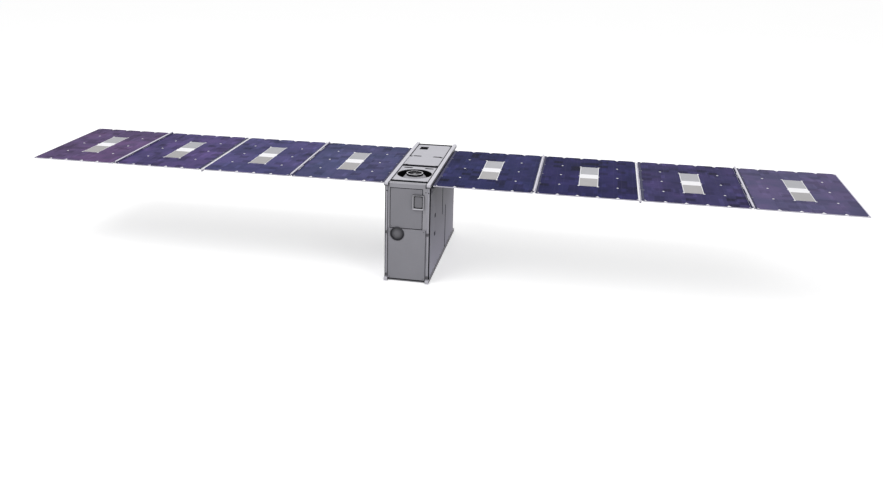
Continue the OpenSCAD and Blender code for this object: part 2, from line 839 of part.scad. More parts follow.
rail("left", true);  // rail_top_left
rail("right", true);  // rail_top_right
rail("left", false);  // rail_bottom_left
rail("right", false);  // rail_bottom_right
corner_posts();
front_bulkhead();
front_upper_panel();
front_lower_panel();
post_clips();
sensor_bezel();
sensor_glass();
aperture_ring();
aperture_dome();
top_tray();
top_front_plate();
top_rear_cover();
top_port();
optics_well();
lens_barrel();
lens_glass();
side_skins("left");  // side_skins_left
side_skins("right");  // side_skins_right
seal_strips();
bottom_skin();
rear_bulkhead();
equipment_block();
root_hinge_leaves();
for (side = SIDES, n = [1 : panels]) {
    on_side(side) board(n);
    on_side(side) cells(n);
    on_side(side) plates(n);
    on_side(side) hinges(n);
}
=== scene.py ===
import bpy, bmesh, json, math
from functools import reduce
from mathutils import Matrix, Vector


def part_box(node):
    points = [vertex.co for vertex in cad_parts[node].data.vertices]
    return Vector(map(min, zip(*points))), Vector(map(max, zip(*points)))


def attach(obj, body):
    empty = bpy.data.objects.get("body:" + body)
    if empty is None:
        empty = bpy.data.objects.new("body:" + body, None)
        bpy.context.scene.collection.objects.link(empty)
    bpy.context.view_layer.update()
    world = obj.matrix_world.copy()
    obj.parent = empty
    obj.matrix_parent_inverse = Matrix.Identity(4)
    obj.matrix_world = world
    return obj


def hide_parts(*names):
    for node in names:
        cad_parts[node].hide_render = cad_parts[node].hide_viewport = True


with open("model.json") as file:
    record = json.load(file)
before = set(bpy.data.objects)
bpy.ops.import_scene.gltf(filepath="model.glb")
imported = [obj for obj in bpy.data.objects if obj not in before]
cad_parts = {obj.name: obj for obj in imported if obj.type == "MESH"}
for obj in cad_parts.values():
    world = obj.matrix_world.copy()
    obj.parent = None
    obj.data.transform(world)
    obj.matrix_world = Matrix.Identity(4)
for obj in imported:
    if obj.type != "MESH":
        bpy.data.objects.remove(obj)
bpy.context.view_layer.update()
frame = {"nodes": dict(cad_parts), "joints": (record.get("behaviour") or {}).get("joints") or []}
parts = frame["nodes"]
scene = bpy.context.scene
scene.view_settings.view_transform = "Standard"
print("frame loaded:", len(parts), "nodes")


# camera, fitted to the rail tips and the wings' edges
shot = {
    "place": (0.3762, -2.0712, 0.7926),
    "forward": (-0.2373, 0.9289, -0.2842),
    "focalPixels": 945.62,
    "axisPixel": (358.68, 185.07),
    "framePixels": (883, 489),
    "sensor": 36.0,
}


def placeCamera(cfg):
    wide, tall = cfg["framePixels"]
    data = bpy.data.cameras.new("viewCamera")
    data.sensor_fit = "HORIZONTAL"
    data.sensor_width = cfg["sensor"]
    data.lens = cfg["focalPixels"] / wide * cfg["sensor"]
    data.shift_x = (wide / 2 - cfg["axisPixel"][0]) / wide
    data.shift_y = (cfg["axisPixel"][1] - tall / 2) / wide
    data.clip_start, data.clip_end = 0.01, 200
    camera = bpy.data.objects.new("viewCamera", data)
    camera.location = cfg["place"]
    camera.rotation_euler = Vector(cfg["forward"]).to_track_quat("-Z", "Y").to_euler()
    scene.collection.objects.link(camera)
    scene.camera = camera


placeCamera(shot)
print("camera placed")


# node trees
class Wire:
    # one output socket; sums on it add Math nodes to its tree
    def __init__(self, bench, socket):
        self.bench, self.socket = bench, socket

    def calc(self, how, *terms):
        return self.bench.add("ShaderNodeMath", {"operation": how}, dict(enumerate(terms)))

    def __add__(self, other): return self.calc("ADD", self, other)
    def __sub__(self, other): return self.calc("SUBTRACT", self, other)
    def __rsub__(self, other): return self.calc("SUBTRACT", other, self)
    def __mul__(self, other): return self.calc("MULTIPLY", self, other)
    def __truediv__(self, other): return self.calc("DIVIDE", self, other)
    def __gt__(self, other): return self.calc("GREATER_THAN", self, other)
    def __lt__(self, other): return self.calc("LESS_THAN", self, other)
    def __abs__(self): return self.calc("ABSOLUTE", self)
    def floor(self): return self.calc("FLOOR", self)
    def fract(self): return self.calc("FRACT", self)
    def saw(self): return abs(self.fract() - 0.5)
    def least(self, other): return self.calc("MINIMUM", self, other)
    def most(self, other): return self.calc("MAXIMUM", self, other)
    def between(self, low, high): return (self > low) * (self < high)

    def ease(self, low, high):
        # 0 at low, 1 at high, smooth between
        return self.bench.add("ShaderNodeMapRange", {"interpolation_type": "SMOOTHSTEP"},
                              {"Value": self, "From Min": low, "From Max": high})


class Bench:
    # a node tree, and one method for any node in it
    def __init__(self, tree):
        self.tree = tree

    def add(self, kind, settings=None, feeds=None, out=0):
        node = self.tree.nodes.new(kind)
        for key, value in (settings or {}).items():
            setattr(node, key, value)
        for key, value in (feeds or {}).items():
            socket = node.inputs[key]
            for item in value if isinstance(value, list) else [value]:
                if isinstance(item, Wire):
                    self.tree.links.new(item.socket, socket)
                elif socket.type == "RGBA":
                    socket.default_value = (*item[:3], 1)
                else:
                    socket.default_value = item
        return Wire(self, node.outputs[out]) if len(node.outputs) else node

    def sisters(self, wire):
        # all outputs of the node that a wire comes from
        return [Wire(self, socket) for socket in wire.socket.node.outputs]

    def blend(self, factor, first, second, how="MIX"):
        return self.add("ShaderNodeMix", {"data_type": "RGBA", "blend_type": how, "clamp_factor": True},
                        {0: factor, 6: first, 7: second}, 2)

    def join(self, x, y, z=0.0):
        return self.add("ShaderNodeCombineXYZ", None, {0: x, 1: y, 2: z})

    def scatter(self, x, y, z):
        # one fixed random number for each whole x and y
        return self.add("ShaderNodeTexWhiteNoise", {"noise_dimensions": "3D"},
                        {"Vector": self.join(x.floor(), y.floor(), z)})


class Finish(Bench):
    # a material, with its object coordinates and a bump at hand
    def __init__(self, name):
        self.material = bpy.data.materials.new(name)
        self.material.use_nodes = True
        super().__init__(self.material.node_tree)
        self.tree.nodes.clear()
        self.place = self.add("ShaderNodeTexCoord", None, None, "Object")
        self.x, self.y, self.z = self.sisters(self.add("ShaderNodeSeparateXYZ", None, {0: self.place}))

    def noise(self, scale, detail=2.0, rough=0.5, vector=None):
        return self.add("ShaderNodeTexNoise", None, {"Vector": vector or self.place, "Scale": scale,
                                                     "Detail": detail, "Roughness": rough})

    def streaks(self, grain):
        # noise drawn out along the axis with the lowest scale
        drawn = self.add("ShaderNodeMapping", None, {"Vector": self.place, "Scale": grain})
        return self.noise(1.0, 3.0, 0.6, drawn)

    def bump(self, height, depth, strength, normal=None):
        feeds = {"Height": height, "Distance": depth, "Strength": strength}
        if normal:
            feeds["Normal"] = normal
        return self.add("ShaderNodeBump", None, feeds)

    def shaded(self, tone, shade):
        return self.blend(1.0, tone, self.join(shade, shade, shade), "MULTIPLY")

    def reach(self, across, along):
        # distance from a middle line
        return self.add("ShaderNodeVectorMath", {"operation": "LENGTH"},
                        {0: self.join(across, along)}, "Value")

    def edges(self, radius, gain):
        # normals rounded at the edges, and a mask of those edges
        rounded = self.add("ShaderNodeBevel", {"samples": 4}, {"Radius": radius})
        flat = self.add("ShaderNodeNewGeometry", None, None, "Normal")
        turn = self.add("ShaderNodeVectorMath", {"operation": "DOT_PRODUCT"}, {0: rounded, 1: flat}, "Value")
        return rounded, ((1 - turn) * gain).least(1.0)

    def close(self, **feeds):
        names = {key[0].upper() + "".join(" " + c if c.isupper() else c for c in key[1:]): value
                 for key, value in feeds.items()}
        names = {key.replace("I O R", "IOR"): value for key, value in names.items()}
        surface = self.add("ShaderNodeBsdfPrincipled", None, names)
        self.add("ShaderNodeOutputMaterial", None, {"Surface": surface})
        return self.material


# studio
studio = {
    "ambient": 0.60,
    "lamps": [  # place, aim, size, watts
        ((-1.2, -1.4, 2.6), (0.0, 0.0, 0.2), 1.8, 30),
        ((1.9, -1.7, 1.5), (0.1, 0.0, 0.1), 1.4, 14),
        ((0.2, 1.9, 2.2), (0.0, 0.0, 0.2), 1.6, 10),
    ],
    "floorTone": 0.86,
    "floorGrain": 0.02,
    "floorGlow": 0.46,
    "floorSize": 60.0,
}


def lightStudio(cfg):
    world = bpy.data.worlds.new("studioWorld")
    world.use_nodes = True
    scene.world = world
    bench = Bench(world.node_tree)
    bench.tree.nodes.clear()
    seen = bench.add("ShaderNodeLightPath", None, None, "Is Camera Ray")
    glossy = Wire(bench, seen.socket.node.outputs["Is Glossy Ray"])
    through = Wire(bench, seen.socket.node.outputs["Is Transmission Ray"])
    level = seen.most(glossy).most(through) * (1 - cfg["ambient"]) + cfg["ambient"]
    sky = bench.add("ShaderNodeBackground", None, {"Color": (1, 1, 1), "Strength": level})
    bench.add("ShaderNodeOutputWorld", None, {"Surface": sky})
    for number, (place, aim, size, watts) in enumerate(cfg["lamps"]):
        data = bpy.data.lights.new(f"softbox{number}", "AREA")
        data.shape, data.size, data.energy = "DISK", size, watts
        lamp = bpy.data.objects.new(f"softbox{number}", data)
        lamp.location = place
        lamp.rotation_euler = (Vector(aim) - Vector(place)).to_track_quat("-Z", "Y").to_euler()
        scene.collection.objects.link(lamp)
    # floor: pale, white to the camera where no shadow falls
    half = cfg["floorSize"] / 2
    corners = [(-half, -half, 0), (half, -half, 0), (half, half, 0), (-half, half, 0)]
    mesh = bpy.data.meshes.new("studioFloor")
    mesh.from_pydata(corners, [], [(0, 1, 2, 3)])
    floor = bpy.data.objects.new("studioFloor", mesh)
    scene.collection.objects.link(floor)
    finish = Finish("floorFinish")
    grain = finish.noise(3.0)
    tone = (grain - 0.5) * cfg["floorGrain"] + cfg["floorTone"]
    path = finish.add("ShaderNodeLightPath", None, None, "Is Camera Ray")
    lit = finish.add("ShaderNodeBsdfDiffuse", None, {"Color": finish.join(tone, tone, tone)})
    glow = finish.add("ShaderNodeEmission", None, {"Color": (1, 1, 1), "Strength": path * cfg["floorGlow"]})
    both = finish.add("ShaderNodeAddShader", None, {0: lit, 1: glow})
    finish.add("ShaderNodeOutputMaterial", None, {"Surface": both})
    mesh.materials.append(finish.material)


lightStudio(studio)
print("studio lit")


# bus metals: tone, metal share, roughness, grain scale along each axis; the deck's lighter and the front
# faces' darker tones are partly painted light from above
busMetals = {
    "rail": {"tone": (0.545, 0.535, 0.59), "metal": 0.25, "rough": 0.36, "grain": (1600, 14, 1600)},
    "frame": {"tone": (0.305, 0.30, 0.33), "metal": 0.25, "rough": 0.46, "grain": (90, 500, 500)},
    "upper": {"tone": (0.225, 0.222, 0.248), "metal": 0.25, "rough": 0.46, "grain": (500, 500, 90)},
    # the lower panel's bright edges are wear and partly painted highlight
    "lower": {"tone": (0.25, 0.247, 0.275), "metal": 0.25, "rough": 0.44, "grain": (90, 500, 600),
              "wear": 0.9},
    "post": {"tone": (0.36, 0.355, 0.395), "metal": 0.25, "rough": 0.40, "grain": (900, 900, 30)},
    "deck": {"tone": (0.435, 0.43, 0.475), "metal": 0.2, "rough": 0.44, "grain": (700, 40, 700)},
    # the skins' darker top is painted shade of the wings above them
    "skin": {"tone": (0.27, 0.262, 0.315), "metal": 0.2, "rough": 0.5, "grain": (500, 30, 500),
             "gloss": 0.2, "fade": 6.4},
    "belly": {"tone": (0.25, 0.242, 0.295), "metal": 0.25, "rough": 0.48, "grain": (500, 30, 500)},
    # the root hinge leaves' near-black tone is painted shade of the wings over them
    "leaf": {"tone": (0.05, 0.049, 0.065), "metal": 0.2, "rough": 0.50, "grain": (900, 20, 900),
             "gloss": 0.1},
}
# what every metal has, unless it says otherwise
metalLook = {
    "gloss": 0.5, "bumpDepth": 0.00004,
    "wear": 0.35, "bareGain": 1.35, "bareLift": 0.06,  # share and tone of bare edges, partly painted edge highlight
    "edgeRadius": 0.0005, "edgeGain": 5.0, "edgePolish": 0.08,
    "fade": 0.0, "shadeFadeMiddle": 0.11,  # painted shade: darker towards the top, per metre
    "streakShade": 0.10, "streakRough": 0.14,
    "cloudScale": 18.0, "cloudShade": 0.16,
    "speckScale": 2600.0, "speckRough": 0.10,
}


def anodised(name, own, shadeAt=None):
    # the last argument is a mask of the places given painted shade
    cfg = {**metalLook, **own}
    finish = Finish(name)
    streak = finish.streaks(cfg["grain"])
    cloud = finish.noise(cfg["cloudScale"], 3.0, 0.55)
    speck = finish.noise(cfg["speckScale"], 1.0)
    rounded, worn = finish.edges(cfg["edgeRadius"], cfg["edgeGain"])
    shade = (streak - 0.5) * cfg["streakShade"] + (cloud - 0.5) * cfg["cloudShade"] + 1.0
    # painted shade: darker towards the top
    if cfg["fade"]:
        shade = shade - (finish.z - cfg["shadeFadeMiddle"]) * cfg["fade"]
    # edge tone: bare metal, and partly painted highlight
    bare = tuple(min(1.0, c * cfg["bareGain"] + cfg["bareLift"]) for c in cfg["tone"])
    scuffedAndSheen = worn * (cloud.ease(0.35, 0.65) * 0.5 + cfg["wear"])
    colour = finish.blend(scuffedAndSheen, finish.shaded(cfg["tone"], shade), bare)
    # painted shade where the mask is on
    if shadeAt:
        colour = finish.blend(shadeAt(finish, paintedShade), colour, paintedShade["tone"])
    rough = (streak - 0.5) * cfg["streakRough"] + (speck - 0.5) * cfg["speckRough"]
    rough = rough + (cfg["rough"] - worn * cfg["edgePolish"])
    normal = finish.bump(streak * 0.7 + speck * 0.3, cfg["bumpDepth"], 0.5, rounded)
    return finish.close(baseColor=colour, roughness=rough, metallic=cfg["metal"], normal=normal,
                        specularIORLevel=cfg["gloss"])


# painted shade on the bus: on cut edges, in grooves, along seams and in gaps
paintedShade = {
    "tone": (0.014, 0.014, 0.018),
    "depth": 0.0002,  # how far below a face its cut edges start
    "deckEdge": 0.0012,
    "postEdge": 0.001,
    "grooveIn": 0.0044,
    "grooveHalf": 0.0008,
    "tipLower": (0.20, 0.2206),
    "tipSide": (0.20, 0.2246),
    "tipSideShare": 0.65,
    "seam": (0.0038, 0.020),
    "seamShare": 0.85,
    "footLow": 0.0028,
    "footOver": 0.0006,
    "beamEnds": {"left": 0.0013, "right": 0.0030},
    "beamFoot": 0.2150,
}


def deckShade(finish, cfg):
    # painted shade on the plates' cut walls and round their edges
    below = finish.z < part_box("top_rear_cover")[1].z - cfg["depth"]
    near = finish.edges(cfg["deckEdge"], 5.0)[1]
    return below.most(near.ease(0.10, 0.35))


def skinEdgeShade(finish, cfg):
    # painted shade on the skins' cut edges
    return abs(finish.x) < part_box("side_skins_right")[1].x - cfg["depth"]


def postGrooveShade(finish, cfg):
    # painted shade on the outer sides, and in the grooves of one diagonal pair
    low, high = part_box("corner_posts")
    deep = (finish.y - low.y).least(high.y - finish.y) > cfg["depth"]
    outer = abs(finish.x) > high.x - cfg["postEdge"]
    inGroove = abs(abs(finish.x) - (high.x - cfg["grooveIn"])) < cfg["grooveHalf"]
    return (deep * outer).most(inGroove * (finish.x * finish.y > 0))


def railTipShade(finish, cfg):
    # painted shade on the inner sides and lower faces of the tips, along the seams of the outer sides, and on
    # the upper outer sides
    low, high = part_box("front_bulkhead")
    front = finish.y < low.y
    inner = abs(finish.x) < high.x + cfg["depth"]
    lower = finish.z.between(*cfg["tipLower"]) * cfg["seamShare"]
    side = abs(finish.x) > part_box("rail_top_right")[1].x - cfg["depth"]
    seam = side * finish.z.between(*cfg["seam"]) * cfg["seamShare"]
    shade = side * finish.z.between(*cfg["tipSide"]) * cfg["tipSideShare"]
    return (front * inner.most(lower)).most(seam).most(shade)


def frameShade(finish, cfg):
    # painted shade: the line under the lower panel, and the gaps at the ends of the top beam
    foot = finish.z.between(cfg["footLow"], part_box("front_lower_panel")[0].z + cfg["footOver"])
    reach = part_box("front_bulkhead")[1].x
    left = finish.x < cfg["beamEnds"]["left"] - reach
    right = finish.x > reach - cfg["beamEnds"]["right"]
    return foot.most(right.most(left) * (finish.z > cfg["beamFoot"]))


# painted shade masks, one for each finish that has them
shadeMasks = {"deck": deckShade, "skin": skinEdgeShade, "post": postGrooveShade, "rail": railTipShade, "frame": frameShade}
finishes = {name: anodised(name + "Anodised", cfg, shadeMasks.get(name)) for name, cfg in busMetals.items()}


# dark finishes: tone, roughness, gloss
darkFinishes = {
    "tray": {"tone": (0.012, 0.012, 0.015), "rough": 0.70, "gloss": 0.05},
    "trim": {"tone": (0.055, 0.054, 0.062), "rough": 0.55, "gloss": 0.2},
    "clip": {"tone": (0.105, 0.103, 0.115), "rough": 0.50, "gloss": 0.3},
    "port": {"tone": (0.006, 0.006, 0.008), "rough": 0.80, "gloss": 0.02},
    "well": {"tone": (0.003, 0.003, 0.004), "rough": 0.90, "gloss": 0.02},
    "block": {"tone": (0.10, 0.10, 0.11), "rough": 0.50, "gloss": 0.4},
}
sealLook = {"tone": (0.010, 0.010, 0.013), "frontTone": (0.11, 0.11, 0.125), "rough": 0.85, "gloss": 0.02}
# what every dark finish has
mouldLook = {
    "pebbleScale": 1800.0, "cloudScale": 30.0, "edgeRadius": 0.0003, "edgeGain": 4.0,
    "bumpDepth": 0.00006, "bumpStrength": 0.6,
}


def moulded(name, own):
    cfg = {**mouldLook, **own}
    finish = Finish(name)
    pebble = finish.noise(cfg["pebbleScale"], 2.0)
    cloud = finish.noise(cfg["cloudScale"], 2.0)
    rounded, worn = finish.edges(cfg["edgeRadius"], cfg["edgeGain"])
    shade = (pebble - 0.5) * 0.2 + (cloud - 0.5) * 0.3 + 1.0 + worn * 0.4
    rough = (pebble - 0.5) * 0.12 + cfg["rough"]
    normal = finish.bump(pebble, cfg["bumpDepth"], cfg["bumpStrength"], rounded)
    return finish.close(baseColor=finish.shaded(cfg["tone"], shade), roughness=rough,
                        normal=normal, specularIORLevel=cfg["gloss"])


def sealFinish(own):
    # grey where the seal fills the gaps beside the lower front panel
    cfg = {**mouldLook, **own}
    finish = Finish("sealStrips")
    pebble = finish.noise(cfg["pebbleScale"], 2.0)
    front = finish.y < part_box("front_bulkhead")[0].y - paintedShade["depth"]
    tone = finish.blend(front, cfg["tone"], cfg["frontTone"])
    normal = finish.bump(pebble, cfg["bumpDepth"], cfg["bumpStrength"])
    return finish.close(baseColor=finish.shaded(tone, (pebble - 0.5) * 0.3 + 1.0),
                        roughness=(pebble - 0.5) * 0.1 + cfg["rough"],
                        normal=normal, specularIORLevel=cfg["gloss"])


finishes.update({name: moulded(name + "Dark", cfg) for name, cfg in darkFinishes.items()})
finishes["seal"] = sealFinish(sealLook)


def dress(node, finish):
    slots = parts[node].data.materials
    if not slots:
        slots.append(finish)
    for index in range(len(slots)):
        slots[index] = finish


busDress = {
    "rail": ["rail_top_left", "rail_top_right", "rail_bottom_left", "rail_bottom_right"],
    "post": ["corner_posts"],
    "frame": ["front_bulkhead", "rear_bulkhead"],
    "upper": ["front_upper_panel"],
    "lower": ["front_lower_panel"],
    "deck": ["top_front_plate", "top_rear_cover"],
    "skin": ["side_skins_left", "side_skins_right"],
    "belly": ["bottom_skin"],
    "leaf": ["root_hinge_leaves"],
    "tray": ["top_tray"],
    "trim": ["aperture_ring"],
    "clip": ["post_clips"],
    "port": ["top_port"],
    "seal": ["seal_strips"],
    "well": ["optics_well"],
    "block": ["equipment_block"],
}
for finishName, nodes in busDress.items():
    for node in nodes:
        dress(node, finishes[finishName])
print("bus dressed")


# optics
barrel = {
    "coneTone": (0.40, 0.395, 0.43),
    "ringTone": (0.008, 0.008, 0.010),
    "ringFoot": (0.0045, 0.0042),  # below the top
    "rimTone": (0.80, 0.79, 0.84),
    "rimBand": (0.0160, 0.0177),
    "rimDepth": 0.0002,
    "turnPitch": 0.0009,
    "edgeRadius": 0.0004,
}
lens = {
    "tone": (0.19, 0.19, 0.20),
    "darkTone": (0.020, 0.020, 0.026),
    "darkFrom": (0.0154, 0.0157),
    "blotEdge": (0.0104, 0.0098),
    "blotReach": 0.0060,
    "blotGap": 0.0026,
    "glintTone": (0.86, 0.86, 0.90),
    "glintInner": (0.0112, 0.0118),
    "glintOuter": (0.0146, 0.0151),
    "glintReach": 0.0085,
}
# dome tones: painted shade, lighter in the middle and darker towards the rim
dome = {
    "middleTone": (0.13, 0.128, 0.142),
    "edgeTone": (0.030, 0.030, 0.036),
    "fade": (0.003, 0.0138),
}
sensor = {
    "tone": (0.165, 0.163, 0.182),
    "rimTone": (0.012, 0.012, 0.015),
    "rimEdge": (0.0012, 0.0017),
    "corner": 0.003,
}
bezel = {
    "tone": (0.40, 0.395, 0.43),
    "upperShade": 0.3,
    "border": 0.0032,
    "cut": 0.0030,
    "corner": 0.0008,
    "crest": 0.0006,
    "fall": 0.0018,
    "darkEdge": {"outer": 0.0003, "inner": 0.0006},
}


def middle(node):
    low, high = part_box(node)
    return (low + high) / 2


def insets(finish, node):
    # distances in from a front piece's left and right, and from its top and bottom
    low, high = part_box(node)
    centre, half = (low + high) / 2, (high - low) / 2
    return half.x - abs(finish.x - centre.x), half.z - abs(finish.z - centre.z)


def turnedBarrel(cfg):
    # a turned cone, and a black ring with one bright line round the glass
    centre, top = middle("lens_barrel"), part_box("lens_barrel")[1].z
    finish = Finish("turnedBarrel")
    radius = finish.reach(finish.x - centre.x, finish.y - centre.y)
    rings = (radius / cfg["turnPitch"]).saw() * 2
    cloud = finish.noise(60.0, 2.0)
    rounded = finish.edges(cfg["edgeRadius"], 5.0)[0]
    onRing = finish.z.ease(*(top - depth for depth in cfg["ringFoot"]))
    rim = (finish.z > top - cfg["rimDepth"]) * radius.between(*cfg["rimBand"])
    shade = (rings - 0.5) * 0.06 + (cloud - 0.5) * 0.15 + 1.0
    tone = finish.blend(rim, finish.blend(onRing, cfg["coneTone"], cfg["ringTone"]), cfg["rimTone"])
    normal = finish.bump(rings, 0.00005, 0.5, rounded)
    return finish.close(baseColor=finish.shaded(tone, shade), roughness=(rings - 0.5) * 0.1 + 0.45,
                        normal=normal, specularIORLevel=0.08)


def coatedGlass(cfg):
    # grey glass with two dark blots, and a painted highlight in two arcs
    centre = middle("lens_glass")
    finish = Finish("coatedGlass")
    across, along = finish.x - centre.x, finish.y - centre.y
    radius = finish.reach(across, along)
    glint = radius.ease(*cfg["glintInner"]) * (1 - radius.ease(*cfg["glintOuter"]))
    glint = glint * (abs(along) < cfg["glintReach"])
    blots = radius.ease(*cfg["blotEdge"]) * (abs(along) < cfg["blotReach"]) * (abs(across) > cfg["blotGap"])
    dark = blots.most(radius.ease(*cfg["darkFrom"]))
    smear = finish.noise(90.0, 3.0)
    colour = finish.blend(dark, cfg["tone"], cfg["darkTone"])
    colour = finish.blend(glint * smear.ease(0.30, 0.55), colour, cfg["glintTone"])
    return finish.close(baseColor=colour, roughness=smear * 0.05 + 0.04, IOR=1.12)


def smokedDome(cfg):
    centre = middle("aperture_dome")
    finish = Finish("smokedDome")
    radius = finish.reach(finish.x - centre.x, finish.z - centre.z)
    haze = finish.noise(160.0, 2.0)
    # painted shade: darker towards the rim
    colour = finish.blend(radius.ease(*cfg["fade"]), cfg["middleTone"], cfg["edgeTone"])
    return finish.close(baseColor=finish.shaded(colour, (haze - 0.5) * 0.12 + 1.0),
                        roughness=haze * 0.1 + 0.36, specularIORLevel=0.35)


def sensorGlass(cfg):
    # painted shade of the gap round the window: a dark border that follows its cut corners
    finish = Finish("sensorGlass")
    inX, inZ = insets(finish, "sensor_glass")
    inCorner = (inX + inZ - cfg["corner"]) * math.sqrt(0.5)
    border = 1 - inX.least(inZ).least(inCorner).ease(*cfg["rimEdge"])
    smear = finish.noise(120.0, 3.0)
    colour = finish.blend(border, cfg["tone"], cfg["rimTone"])
    return finish.close(baseColor=colour, roughness=smear * 0.12 + 0.14)


def bezelFinish(cfg):
    # bright on the sloped face; painted shade dims its upper member and darkens the sides
    low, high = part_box("sensor_bezel")
    finish = Finish("slopedBezel")
    inX, inZ = insets(finish, "sensor_bezel")
    dark = cfg["darkEdge"]
    face = inX.least(inZ).between(dark["outer"], cfg["border"] - dark["inner"])
    face = face * (finish.y < low.y + cfg["fall"])
    cloud = finish.noise(60.0, 3.0)
    upper = finish.z > high.z - cfg["border"]
    shade = (cloud - 0.5) * 0.16 + 1.0 - upper * cfg["upperShade"]
    colour = finish.blend(face, paintedShade["tone"], finish.shaded(cfg["tone"], shade))
    return finish.close(baseColor=colour, roughness=cloud * 0.1 + 0.36, metallic=0.2)


def lofted(name, loops, ring, material, body):
    # a closed mesh over loops of points: a ring through them all, or a block with its two ends capped
    form = bmesh.new()
    rows = [[form.verts.new(point) for point in loop] for loop in loops]
    for lower, upper in zip(rows, rows[1:] + rows[:1] if ring else rows[1:]):
        for k in range(len(lower)):
            form.faces.new((lower[k - 1], lower[k], upper[k], upper[k - 1]))
    if not ring:
        form.faces.new(rows[0])
        form.faces.new(rows[-1])
    bmesh.ops.recalc_face_normals(form, faces=form.faces)
    mesh = bpy.data.meshes.new(name)
    form.to_mesh(mesh)
    form.free()
    mesh.materials.append(material)
    piece = bpy.data.objects.new(name, mesh)
    scene.collection.objects.link(piece)
    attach(piece, body)
    return piece


def bezelLoops(cfg):
    # across the frame: outer wall, crest, and a face that falls towards the window
    low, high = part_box("sensor_bezel")

    def loop(inset, lower, upper, y):
        left, right, bottom, top = low.x + inset, high.x - inset, low.z + inset, high.z - inset
        corners = [(left + lower, bottom), (right - lower, bottom),
                   (right, bottom + lower), (right, top - upper),
                   (right - upper, top), (left + upper, top),
                   (left, top - upper), (left, bottom + lower)]
        return [(x, y, z) for x, z in corners]

    corner, crest, border, cut = cfg["corner"], cfg["crest"], cfg["border"], cfg["cut"]
    return [loop(0, corner, corner, high.y), loop(0, corner, corner, low.y + crest),
            loop(crest, corner, corner, low.y),
            loop(border, corner / 4, cut, low.y + cfg["fall"]),
            loop(border, corner / 4, cut, high.y)]


dress("lens_barrel", turnedBarrel(barrel))
dress("lens_glass", coatedGlass(lens))
dress("aperture_dome", smokedDome(dome))
dress("sensor_glass", sensorGlass(sensor))
sensorFrame = lofted("sensorFrame", bezelLoops(bezel), True, bezelFinish(bezel), "bus")
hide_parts("sensor_bezel")
print("optics dressed")


# wings
panels = [(side, number) for side in ("left", "right") for number in range(1, 5)]
wing = {
    "cellPitch": (0.0402, 0.0770),
    "cellGap": 0.0002,
    "fieldHalf": (2.5, 2.0),  # in cells, from a panel's middle
    "fieldSlack": 0.003,
    "windowHalf": (0.5, 1.0),
    "boardTone": (0.93, 0.925, 0.95),
    "tints": {  # blue of the cells with each panel's painted reflection, from the bus outwards
        "left": [(0.062, 0.068, 0.156), (0.062, 0.061, 0.162), (0.070, 0.056, 0.162), (0.096, 0.064, 0.155)],
        "right": [(0.024, 0.027, 0.096), (0.021, 0.021, 0.086), (0.043, 0.038, 0.116), (0.090, 0.083, 0.174)],
    },
    "contrast": {"left": (0.8, 0.85, 0.85, 0.7), "right": (1.0, 1.0, 0.9, 0.5)},
}


class PanelFinish(Finish):
    # a finish that counts the columns u and rows v of cells on its panel
    def __init__(self, name, side, number, cfg):
        super().__init__(f"{name}{side.capitalize()}{number}")
        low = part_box(f"cells_{side}_{number}")[0]
        self.pitch = cfg["cellPitch"]
        self.u = (self.x - (low.x - cfg["cellGap"] / 2)) / self.pitch[0]
        self.v = (self.y - (low.y - cfg["cellGap"] / 2)) / self.pitch[1]
        self.seed = number * 7.0 + (31.0 if side == "left" else 0.0)

    def fromSeam(self, count, pitch):
        # distance from the nearest line between columns or rows
        return (count + 0.5).saw() * pitch


cell = {
    "level": 1.04, "toneShade": 0.30, "violet": (1.14, 0.99, 1.02),
    "patchSplit": (2.0, 4.0), "patchShade": 0.46,
    "sliverSplit": (5.0, 3.0), "sliverShade": 0.36,
    "wobbleScale": 70.0, "wobble": 0.35,
    "cloudScale": 16.0, "cloudShade": 1.3,
    "fineScale": 240.0, "fineShade": 0.3,
    "fingerPitch": 0.0016, "fingerShare": 0.05,
    "busbarOff": 0.30, "busbarShare": 0.035, "lineTone": (0.30, 0.30, 0.42),
    "tabReach": {"front": 0.0038, "rear": 0.0056}, "tabSlope": 0.6,
}


